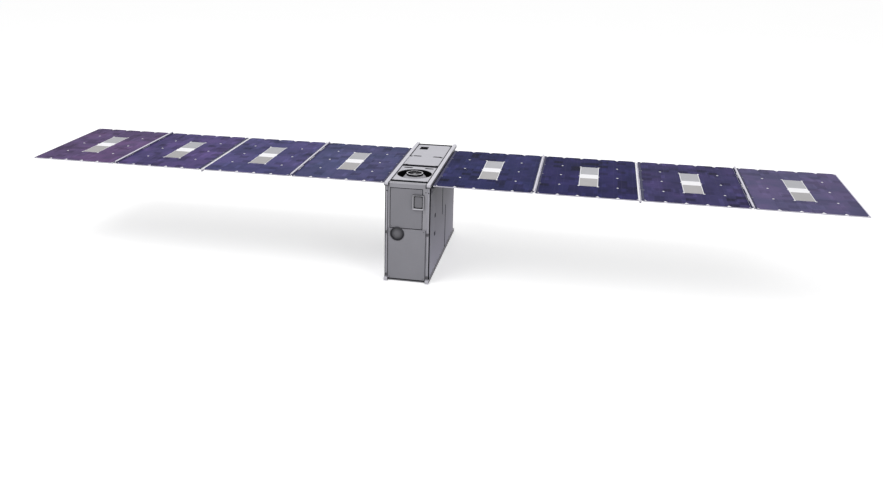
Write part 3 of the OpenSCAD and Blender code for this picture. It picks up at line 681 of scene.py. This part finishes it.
def cellFinish(side, number, cfg):
    finish = PanelFinish("cell", side, number, wing)
    u, v = finish.u, finish.v
    (patchU, patchV), (sliverU, sliverV) = cfg["patchSplit"], cfg["sliverSplit"]
    wobble = (finish.noise(cfg["wobbleScale"], 2.0) - 0.5) * cfg["wobble"]
    cellTone = finish.scatter(u, v, finish.seed)
    patchTone = finish.scatter(u * patchU + wobble, v * patchV + wobble, finish.seed + 3.0)
    sliver = finish.scatter(u * sliverU + wobble, v * sliverV, finish.seed + 11.0)
    cloud = finish.noise(cfg["cloudScale"], 3.0, 0.55)
    fine = finish.noise(cfg["fineScale"], 2.0)
    finger = (finish.y / cfg["fingerPitch"]).saw().ease(0.44, 0.49)
    busbar = abs(u.saw() - cfg["busbarOff"]).ease(0.016, 0.010)
    patches = (cellTone - 0.5) * cfg["toneShade"] - patchTone.ease(0.70, 0.92) * cfg["patchShade"]
    patches = patches + sliver.ease(0.88, 0.95) * cfg["sliverShade"]
    patches = patches + (cloud - 0.5) * cfg["cloudShade"] + (fine - 0.5) * cfg["fineShade"]
    shade = patches * wing["contrast"][side][number - 1] + cfg["level"]
    # cell blue with this panel's painted reflection
    toneAndReflection = wing["tints"][side][number - 1]
    violet = tuple(c * k for c, k in zip(toneAndReflection, cfg["violet"]))
    base = finish.blend(cloud.ease(0.40, 0.65), finish.shaded(toneAndReflection, shade), finish.shaded(violet, shade))
    lines = finger * cfg["fingerShare"] + busbar * cfg["busbarShare"]
    colour = finish.blend(lines, base, cfg["lineTone"])
    # white tabs between the cells along the front and rear edges
    offU, slope = finish.fromSeam(u, finish.pitch[0]), finish.pitch[1] * cfg["tabSlope"]
    front = offU + v * slope < cfg["tabReach"]["front"]
    rear = offU + (2 * wing["fieldHalf"][1] - v) * slope < cfg["tabReach"]["rear"]
    colour = finish.blend(front.most(rear), colour, wing["boardTone"])
    normal = finish.bump(finger + busbar, 0.00002, 0.4)
    return finish.close(baseColor=colour, roughness=fine * 0.12 + 0.26, normal=normal, IOR=1.035)


board = {
    "faceDepth": 0.00005,  # how far from a face its tones reach
    "edgeTone": (0.50, 0.48, 0.56),
    "gapTone": (0.030, 0.028, 0.075),
    "stripTone": (0.030, 0.030, 0.085),
    # the left wing's dark edge tones are painted shade; the right's are near the board's white
    "foldEdge": {"left": (0.10, 0.09, 0.17), "right": (0.88, 0.875, 0.91)},
    "tipTone": {"left": (0.10, 0.07, 0.12), "right": (0.78, 0.76, 0.85)},
    "cornerCut": 0.0038,
    "cornerEnd": 2.2,  # no white corners outside it, faint ones inside
    "cornerFade": 0.75,
    "rimEnd": 2.56,
    "backTone": (0.085, 0.085, 0.100),
    "traceTone": (0.24, 0.20, 0.13),
    "traceShare": 0.55,
    "weavePitch": 0.0011,
}


def boardFinish(side, number, cfg):
    finish = PanelFinish("board", side, number, wing)
    low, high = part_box(f"board_{side}_{number}")
    u, v = finish.u, finish.v
    onTop = finish.z > high.z - cfg["faceDepth"]
    onBack = finish.z < low.z + cfg["faceDepth"]
    halfU, halfV = wing["fieldHalf"]
    endU, endV = halfU + wing["fieldSlack"], halfV + wing["fieldSlack"]
    across = (u - halfU) * (1 if side == "right" else -1)
    along = abs(v - halfV)
    field = (abs(across) < endU) * (along < endV)
    window = (abs(across) < wing["windowHalf"][0]) * (along < wing["windowHalf"][1])
    corner = finish.fromSeam(u, finish.pitch[0]) + finish.fromSeam(v, finish.pitch[1]) < cfg["cornerCut"]
    corner = corner * (across < cfg["cornerEnd"]) * (1 - (across < -cfg["cornerEnd"]) * cfg["cornerFade"])
    # top: white where bare, dark in the gaps, a dark strip inside, an edge tone round the rest
    top = finish.blend(field * (1 - window) * (1 - corner), wing["boardTone"], cfg["gapTone"])
    top = finish.blend(along > endV, top, cfg["edgeTone"])
    top = finish.blend(across < -endU, top, cfg["stripTone"])
    # outer edge tone; the left wing's dark ones are painted shade
    outer = {2: wing["boardTone"], 4: cfg["tipTone"][side]}.get(number, cfg["foldEdge"][side])
    top = finish.blend(across > endU, top, outer)
    # back: grey weave with a grid of printed traces
    trace = (u * 2.0).saw().ease(0.030, 0.022).most((v * 2.0).saw().ease(0.016, 0.012))
    back = finish.blend(trace * cfg["traceShare"], cfg["backTone"], cfg["traceTone"])
    rim = finish.blend(abs(across) > cfg["rimEnd"], cfg["edgeTone"], wing["boardTone"])
    tone = finish.blend(onTop, finish.blend(onBack, rim, back), top)
    warp = (finish.x / cfg["weavePitch"]).saw() * 2
    weft = (finish.y / cfg["weavePitch"]).saw() * 2
    cloud = finish.noise(14.0, 3.0)
    shade = (warp * weft - 0.3) * 0.05 + (cloud - 0.5) * 0.08 + 1.0
    normal = finish.bump(warp * weft, 0.00003, 0.5)
    return finish.close(baseColor=finish.shaded(tone, shade), roughness=cloud * 0.1 + 0.46,
                        normal=normal, specularIORLevel=0.05)


plate = {
    "farTone": (0.36, 0.36, 0.39),
    "nearTone": (0.335, 0.322, 0.328),
    "grain": (40, 900, 900),
}


def plateFinish(cfg):
    finish = Finish("greyPlate")
    streak = finish.streaks(cfg["grain"])
    cloud = finish.noise(40.0, 2.0)
    shade = (streak - 0.5) * 0.14 + (cloud - 0.5) * 0.16 + 1.0
    normal = finish.bump(streak, 0.00003, 0.5)
    tone = finish.blend(finish.y < middle("plates_right_1").y, cfg["farTone"], cfg["nearTone"])
    return finish.close(baseColor=finish.shaded(tone, shade), roughness=(streak - 0.5) * 0.15 + 0.42,
                        metallic=0.2, normal=normal)


hinge = {
    "brightTone": (0.72, 0.70, 0.78),
    # painted shade, one tone for each wing
    "darkTone": {"left": (0.072, 0.065, 0.140), "right": (0.030, 0.030, 0.085)},
    "knuckleRise": 0.0005,  # above the axis
    "knuckleHalf": 0.0030,
    "leafReach": 0.0034,
    "leafDrop": 0.0034,
    "grain": (1200, 20, 1200),
}
foldAxes = {joint["child"]: joint["pos_m"] for joint in frame["joints"]}


def hingeFinish(side, number, cfg):
    # bright along the top of each fold's knuckles and its outer leaf; elsewhere, and along the whole root
    # fold, painted shade in each wing's dark tone
    finish = Finish(f"hinge{side.capitalize()}{number}")
    outward = 1 if side == "right" else -1
    masks = []
    for fold in sorted({max(number, 2), min(number + 1, 4)}):
        x, _, z = foldAxes[f"{side}_panel_{fold}"]
        off = (finish.x - x) * outward
        masks.append((finish.z > z + cfg["knuckleRise"]) * (abs(off) < cfg["knuckleHalf"]))
        masks.append(off.between(0.0, cfg["leafReach"]) * (finish.z > z - cfg["leafDrop"]))
    streak = finish.streaks(cfg["grain"])
    cloud = finish.noise(30.0, 2.0)
    rounded, worn = finish.edges(0.0003, 4.0)
    tone = finish.blend(reduce(Wire.most, masks), cfg["darkTone"][side], cfg["brightTone"])
    shade = (streak - 0.5) * 0.12 + (cloud - 0.5) * 0.12 + 1.0 + worn * 0.15
    return finish.close(baseColor=finish.shaded(tone, shade), roughness=(streak - 0.5) * 0.14 + 0.45,
                        normal=finish.bump(streak, 0.00003, 0.5, rounded), specularIORLevel=0.06)


greyPlate = plateFinish(plate)
for side, number in panels:
    dress(f"cells_{side}_{number}", cellFinish(side, number, cell))
    dress(f"board_{side}_{number}", boardFinish(side, number, board))
    dress(f"plates_{side}_{number}", greyPlate)
    dress(f"hinges_{side}_{number}", hingeFinish(side, number, hinge))
print("wings dressed")


# finishes of the small pieces
smallMetals = {
    "screw": {"tone": (0.30, 0.295, 0.32), "metal": 0.5, "rough": 0.34, "grain": (900, 900, 900),
              "wear": 0.8},
    "trace": {"tone": (0.045, 0.044, 0.095), "metal": 0.3, "rough": 0.42, "grain": (900, 40, 900),
              "gloss": 0.1},
    "pad": {"tone": (0.10, 0.105, 0.14), "metal": 0.2, "rough": 0.42, "grain": (700, 700, 700), "gloss": 0.1},
    "rib": {"tone": (0.16, 0.16, 0.18), "metal": 0.3, "rough": 0.42, "grain": (60, 60, 900)},
    "coverPlate": {"tone": (0.33, 0.325, 0.35), "metal": 0.3, "rough": 0.42, "grain": (60, 60, 900)},
}
smallDark = {
    "film": {"tone": (0.030, 0.030, 0.080), "rough": 0.60, "gloss": 0.04},
    "diode": {"tone": (0.020, 0.020, 0.023), "rough": 0.45, "gloss": 0.4},
}
finishes.update({name: anodised(name + "Anodised", cfg) for name, cfg in smallMetals.items()})
finishes.update({name: moulded(name + "Dark", cfg) for name, cfg in smallDark.items()})


class Grove(Bench):
    # a geometry tree with named inputs
    def __init__(self, name, sizes):
        super().__init__(bpy.data.node_groups.new(name, "GeometryNodeTree"))
        sides = self.tree.interface
        sides.new_socket("points", in_out="INPUT", socket_type="NodeSocketGeometry")
        kinds = {int: "NodeSocketInt", float: "NodeSocketFloat", tuple: "NodeSocketVector"}
        self.identifiers = {}
        for key, value in sizes.items():
            socket = sides.new_socket(key, in_out="INPUT", socket_type=kinds[type(value)])
            socket.default_value = value
            self.identifiers[key] = socket.identifier
        sides.new_socket("mesh", in_out="OUTPUT", socket_type="NodeSocketGeometry")
        first = self.tree.nodes.new("NodeGroupInput")
        self.points = Wire(self, first.outputs["points"])
        self.given = {key: Wire(self, first.outputs[key]) for key in sizes}

    def merge(self, *shapes):
        return self.add("GeometryNodeJoinGeometry", None, {"Geometry": list(shapes)})

    def mark(self, shape, part):
        # the number of the material that a shape's faces take
        return self.add("GeometryNodeStoreNamedAttribute", {"data_type": "INT", "domain": "FACE"},
                        {"Geometry": shape, "Name": "part", "Value": part})

    def shift(self, shape, place):
        return self.add("GeometryNodeTransform", None, {"Geometry": shape, "Translation": place})

    def bar(self, size, lift, part):
        block = self.add("GeometryNodeMeshCube", None, {"Size": self.join(*size)})
        return self.mark(self.shift(block, self.join(0.0, 0.0, lift)), part)

    def row(self, shape, count, start, step):
        line = self.add("GeometryNodeMeshLine", {"mode": "OFFSET"},
                        {"Count": count, "Start Location": start, "Offset": step})
        return self.add("GeometryNodeInstanceOnPoints", None, {"Points": line, "Instance": shape})

    def end(self, shape, materials):
        whole = self.add("GeometryNodeRealizeInstances", None, {"Geometry": shape})
        part = self.add("GeometryNodeInputNamedAttribute", {"data_type": "INT"}, {"Name": "part"})
        for number, material in enumerate(materials):
            whole = self.add("GeometryNodeSetMaterial", None,
                             {"Geometry": whole, "Selection": part > number - 0.5, "Material": material})
        self.add("NodeGroupOutput", None, {"mesh": whole})


def grow(name, grove, body, sizes, points=(((0, 0, 0), (0, 0, 1)),)):
    # runs a tree on points with facings, and keeps the result as a plain mesh on a body
    seeds = bpy.data.meshes.new(name + "Seeds")
    seeds.from_pydata([place for place, facing in points], [], [])
    facings = seeds.attributes.new("facing", "FLOAT_VECTOR", "POINT")
    for item, (place, facing) in zip(facings.data, points):
        item.vector = facing
    piece = bpy.data.objects.new(name, seeds)
    scene.collection.objects.link(piece)
    modifier = piece.modifiers.new("grow", "NODES")
    modifier.node_group = grove.tree
    for key, value in sizes.items():
        modifier[grove.identifiers[key]] = value
    shown = piece.evaluated_get(bpy.context.evaluated_depsgraph_get())
    mesh = bpy.data.meshes.new_from_object(shown)
    piece.modifiers.clear()
    piece.data = mesh
    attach(piece, body)
    return piece


def spread(low, high, count):
    return [low + (high - low) * step / (count - 1) for step in range(count)]


# rays that find a face: start above the place, length, and steps that still count as flat
rays = {"lift": 0.02, "reach": 0.06, "flat": 0.0001}


def settle(node, facing, places, clear):
    # the places, moved onto a node's face, without those that miss it or overhang its edge
    facing = Vector(facing)
    across = facing.orthogonal().normalized()
    along = facing.cross(across)
    steps = [Vector(), across * clear, along * clear, -across * clear, -along * clear]
    kept = []
    for place in places:
        starts = [Vector(place) + facing * rays["lift"] + step for step in steps]
        hits = [parts[node].ray_cast(start, -facing, distance=rays["reach"]) for start in starts]
        depths = [hit[1].dot(facing) for hit in hits if hit[0]]
        if len(depths) == len(steps) and max(depths) - min(depths) < rays["flat"]:
            kept.append((tuple(hits[0][1]), tuple(facing)))
    return kept


# screws: socket heads, a bevel round the top and a dark socket
headSizes = {  # radius and height of the head, radius and depth of the socket
    "skinScrews": (0.0018, 0.0004, 0.0009, 0.0003),
    "leafScrews": (0.0020, 0.0006, 0.0010, 0.0004),
    "faceScrews": (0.0012, 0.0004, 0.0007, 0.0003),
    "postScrews": (0.0012, 0.0004, 0.0007, 0.0003),
}
headNames = ("headRadius", "headHeight", "socketRadius", "socketDepth")
screws = {kind: dict(zip(headNames, sizes)) for kind, sizes in headSizes.items()}
headShape = {"sides": 16, "wallShare": 0.6, "topShare": 0.86, "socketShare": 0.96, "weld": 0.000001}


def screwGrove(name, cfg, materials):
    grove = Grove(name, screws["skinScrews"])
    get = grove.given
    disc = grove.add("GeometryNodeMeshCircle", {"fill_type": "NGON"},
                     {"Vertices": cfg["sides"], "Radius": get["headRadius"]})

    def raised(shape, top, lift, scale):
        shape = grove.add("GeometryNodeExtrudeMesh", {"mode": "FACES"},
                          {"Mesh": shape, "Selection": top, "Offset Scale": lift})
        shape, top, side = grove.sisters(shape)
        shape = grove.add("GeometryNodeScaleElements", {"domain": "FACE"},
                          {"Geometry": shape, "Selection": top, "Scale": scale})
        return shape, top, side

    wall, inner = cfg["wallShare"], cfg["topShare"]
    shape, top, side = raised(disc, True, get["headHeight"] * wall, 1.0)
    shape, top, side = raised(shape, top, get["headHeight"] * (1 - wall), inner)
    shape, top, side = raised(shape, top, 0.0, get["socketRadius"] / (get["headRadius"] * inner))
    shape, top, side = raised(shape, top, get["socketDepth"] * -1.0, cfg["socketShare"])
    shape = grove.mark(shape, top.most(side))
    shape = grove.merge(shape, grove.add("GeometryNodeFlipFaces", None, {"Mesh": disc}))
    shape = grove.add("GeometryNodeMergeByDistance", None, {"Geometry": shape, "Distance": cfg["weld"]})
    facing = grove.add("GeometryNodeInputNamedAttribute", {"data_type": "FLOAT_VECTOR"}, {"Name": "facing"})
    turn = grove.add("FunctionNodeAlignRotationToVector", {"axis": "Z"}, {"Vector": facing})
    heads = grove.add("GeometryNodeInstanceOnPoints", None,
                      {"Points": grove.points, "Instance": shape, "Rotation": turn})
    grove.end(heads, materials)
    return grove


# rows of screws: insets from each plate's edges, counts, and the flat room that a head needs
screwRows = {
    "inset": 0.0055,
    "clear": 0.0024,
    "faceClear": 0.0014,
    "skin": {"face": 0.05, "top": 0.019, "ends": (0.035, 0.045), "along": 11, "up": 4},
    "leaf": {"face": 0.0505, "end": 0.010, "along": 11},
    "bottom": {"along": 9},
    "rear": {"ends": (0.016, 0.012), "up": 6},
    "posts": {"corner_posts": (0.0454, 0.2055), "front_bulkhead": (0.0396, 0.2065)},
    "panels": {"front_lower_panel": 0.0035, "front_upper_panel": 0.003},
    "deck": (0.003, 0.0035),
}


def screwPlaces(cfg):
    places = {kind: [] for kind in screws}
    inset, clear, faceClear = cfg["inset"], cfg["clear"], cfg["faceClear"]
    skin, leaf = cfg["skin"], cfg["leaf"]
    for side, way in (("left", -1), ("right", 1)):
        low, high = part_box(f"side_skins_{side}")
        ends = (low.y + inset, high.y - inset)
        levels = spread(low.z + skin["ends"][0], high.z - skin["ends"][1], skin["up"])
        rim = [(y, z) for y in spread(*ends, skin["along"]) for z in (low.z + inset, high.z - skin["top"])]
        rim += [(y, z) for y in ends for z in levels]
        rim = [(skin["face"] * way, y, z) for y, z in rim]
        places["skinScrews"] += settle(f"side_skins_{side}", (way, 0, 0), rim, clear)
        low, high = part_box("root_hinge_leaves")
        run = spread(low.y + leaf["end"], high.y - leaf["end"], leaf["along"])
        row = [(leaf["face"] * way, y, low.z + inset) for y in run]
        places["leafScrews"] += settle("root_hinge_leaves", (way, 0, 0), row, clear)
    low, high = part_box("bottom_skin")
    run = spread(low.y + inset, high.y - inset, cfg["bottom"]["along"])
    rim = [(x, y, low.z) for x in (low.x + inset, high.x - inset) for y in run]
    places["skinScrews"] += settle("bottom_skin", (0, 0, -1), rim, clear)
    low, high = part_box("rear_bulkhead")
    levels = spread(low.z + cfg["rear"]["ends"][0], high.z - cfg["rear"]["ends"][1], cfg["rear"]["up"])
    rim = [(x, high.y, z) for x in (low.x + inset, high.x - inset) for z in levels]
    places["skinScrews"] += settle("rear_bulkhead", (0, 1, 0), rim, clear)
    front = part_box("corner_posts")[0].y
    for node, (x, z) in cfg["posts"].items():
        pair = [(way * x, front, z) for way in (-1, 1)]
        places["postScrews"] += settle(node, (0, -1, 0), pair, faceClear)
    for node, edge in cfg["panels"].items():
        low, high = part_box(node)
        levels = (low.z + edge, high.z - edge)
        corners = [(x, low.y, z) for x in (low.x + edge, high.x - edge) for z in levels]
        places["faceScrews"] += settle(node, (0, -1, 0), corners, faceClear)
    edgeX, edgeY = cfg["deck"]
    for node in ("top_front_plate", "top_rear_cover"):
        low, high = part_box(node)
        rows = (low.y + edgeY, high.y - edgeY)
        corners = [(x, y, high.z) for x in (low.x + edgeX, high.x - edgeX) for y in rows]
        places["faceScrews"] += settle(node, (0, 0, 1), corners, faceClear)
    return places


steelHeads = screwGrove("steelHeads", headShape, [finishes["screw"], finishes["well"]])
darkHeads = screwGrove("darkHeads", headShape, [finishes["tray"], finishes["well"]])
for kind, points in screwPlaces(screwRows).items():
    grove, slot = (darkHeads, "dark_trim") if kind == "postScrews" else (steelHeads, "frame_grey")
    grow(kind, grove, "bus", screws[kind], points)
print("screws set")


# wiring strips on the panels' inner margins; widths and runs of traces and pads as shares of the film's
strip = {
    "filmWidth": 0.005, "filmLength": 0.300, "filmHeight": 0.00014,
    "traceHeight": 0.00004, "traceWidth": 0.12, "traceRun": 0.985, "traceStep": 0.28,
    "padLength": 0.0028, "padHeight": 0.00008, "padWidth": 0.8, "padPitch": 0.0770, "padCount": 3,
}
stripReach = {  # from a board's inner edge: free, or beside the leaf that stands on it
    "free": (0.0004, 0.0058),
    "leaf": (0.0034, 0.0060),
}


def stripGrove(sizes, materials):
    grove = Grove("wiringStrip", {"place": (0.0, 0.0, 0.0), **sizes})
    get = grove.given
    wide, long, high = get["filmWidth"], get["filmLength"], get["filmHeight"]
    film = grove.bar((wide, long, high), high * 0.5, 0)
    trace = grove.bar((wide * get["traceWidth"], long * get["traceRun"], get["traceHeight"] * 2.0), high, 1)
    step = wide * get["traceStep"]
    traces = grove.row(trace, 3, grove.join(step * -1.0, 0.0), grove.join(step, 0.0))
    pad = grove.bar((wide * get["padWidth"], get["padLength"], get["padHeight"] * 2.0), high, 2)
    first = get["padPitch"] * (get["padCount"] - 1.0) * -0.5
    pads = grove.row(pad, get["padCount"], grove.join(0.0, first), grove.join(0.0, get["padPitch"]))
    grove.end(grove.shift(grove.merge(film, traces, pads), get["place"]), materials)
    return grove


wiring = stripGrove(strip, [finishes["film"], finishes["trace"], finishes["pad"]])
for side, number in panels:
    low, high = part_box(f"board_{side}_{number}")
    near, far = stripReach["free" if number in (1, 3) else "leaf"]
    offset = (near + far) / 2
    x = low.x + offset if side == "right" else high.x - offset
    grow(f"wiringStrip{side.capitalize()}{number}", wiring, f"{side}_panel_{number}",
         {**strip, "place": (x, (low.y + high.y) / 2, high.z), "filmWidth": far - near})
print("wiring strips laid")


# ribs and diodes on the panels' backs; a diode's feet as shares of its body
panelBack = {
    "spanX": 0.184, "spanY": 0.288, "ribWidth": 0.0035, "ribHeight": 0.0009, "crossHeight": 0.8,
    "ribsAlong": 4, "ribsAcross": 5,
    "diodeLength": 0.0046, "diodeWidth": 0.0026, "diodeHeight": 0.0008,
    "footLength": 1.6, "footWidth": 0.6, "footHeight": 0.25,
    "fieldX": 0.66, "fieldY": 0.75, "fieldShift": 0.014,
}
diodeGrid = {"Vertices X": 3, "Vertices Y": 4}


def backGrove(sizes, materials):
    grove = Grove("panelBack", {"place": (0.0, 0.0, 0.0), **sizes})
    get = grove.given
    spanX, spanY, wide, high = get["spanX"], get["spanY"], get["ribWidth"], get["ribHeight"]
    ribs = grove.row(grove.bar((wide, spanY + wide, high), high * -0.5, 0), get["ribsAlong"],
                     grove.join(spanX * -0.5, 0.0), grove.join(spanX / (get["ribsAlong"] - 1.0), 0.0))
    low = high * get["crossHeight"]
    cross = grove.row(grove.bar((spanX, wide, low), low * -0.5, 0), get["ribsAcross"],
                      grove.join(0.0, spanY * -0.5), grove.join(0.0, spanY / (get["ribsAcross"] - 1.0)))
    long, wide, high = get["diodeLength"], get["diodeWidth"], get["diodeHeight"]
    foot = high * get["footHeight"]
    diode = grove.merge(grove.bar((long, wide, high), high * -0.5, 1),
                        grove.bar((long * get["footLength"], wide * get["footWidth"], foot), foot * -0.5, 2))
    grid = grove.add("GeometryNodeMeshGrid", None,
                     {"Size X": spanX * get["fieldX"], "Size Y": spanY * get["fieldY"], **diodeGrid})
    grid = grove.add("GeometryNodeSetPosition", None,
                     {"Geometry": grid, "Offset": grove.join(get["fieldShift"], 0.0)})
    diodes = grove.add("GeometryNodeInstanceOnPoints", None, {"Points": grid, "Instance": diode})
    grove.end(grove.shift(grove.merge(ribs, cross, diodes), get["place"]), materials)
    return grove


backs = backGrove(panelBack, [finishes["rib"], finishes["diode"], finishes["pad"]])
for side, number in panels:
    low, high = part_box(f"board_{side}_{number}")
    grow(f"panelBack{side.capitalize()}{number}", backs, f"{side}_panel_{number}",
         {**panelBack, "place": ((low.x + high.x) / 2, (low.y + high.y) / 2, low.z)})
print("panel backs fitted")


# covers on the rear and bottom faces: place and size on the face, height, corner radius
covers = {
    "umbilicalCover": {"on": "rear_bulkhead", "at": (0.010, 0.160), "size": (0.044, 0.034),
                       "height": 0.0022, "corner": 0.004},
    "serviceCover": {"on": "rear_bulkhead", "at": (0.0, 0.072), "size": (0.058, 0.084),
                     "height": 0.0016, "corner": 0.005},
    "bottomHatch": {"on": "bottom_skin", "at": (0.0, -0.020), "size": (0.054, 0.150),
                    "height": 0.0004, "corner": 0.006},
}
coverShape = {"arcPoints": 7, "wallShare": 0.65, "bevel": 0.0008, "screwInset": 0.0045}


def coverPlate(name, cfg, form):
    # a rounded plate with a bevelled rim; returns the places of its corner screws
    low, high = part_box(cfg["on"])
    (u, v), (wide, tall), corner = cfg["at"], cfg["size"], cfg["corner"]
    if cfg["on"] == "bottom_skin":
        onFace, facing = lambda x, y: Vector((x, y, low.z)), Vector((0, 0, -1))
    else:
        onFace, facing = lambda x, z: Vector((x, high.y, z)), Vector((0, 1, 0))
    outline = []
    for turn, (sx, sy) in enumerate(((1, 1), (-1, 1), (-1, -1), (1, -1))):
        for angle in spread(math.pi / 2 * turn, math.pi / 2 * (turn + 1), form["arcPoints"]):
            outline.append((sx * (wide / 2 - corner) + corner * math.cos(angle),
                            sy * (tall / 2 - corner) + corner * math.sin(angle)))
    loops = []
    for share, shrink in ((0.0, 0.0), (form["wallShare"], 0.0), (1.0, form["bevel"])):
        loops.append([onFace(u + x * (1 - 2 * shrink / wide), v + y * (1 - 2 * shrink / tall))
                      + facing * cfg["height"] * share for x, y in outline])
    lofted(name, loops, False, finishes["coverPlate"], "bus")
    halfU, halfV = wide / 2 - form["screwInset"], tall / 2 - form["screwInset"]
    corners = [onFace(u + sx * halfU, v + sy * halfV) for sx in (-1, 1) for sy in (-1, 1)]
    return [(tuple(place + facing * cfg["height"]), tuple(facing)) for place in corners]


coverScrews = [point for name, cfg in covers.items() for point in coverPlate(name, cfg, coverShape)]
grow("coverScrews", steelHeads, "bus", screws["skinScrews"], coverScrews)
print("covers fitted")
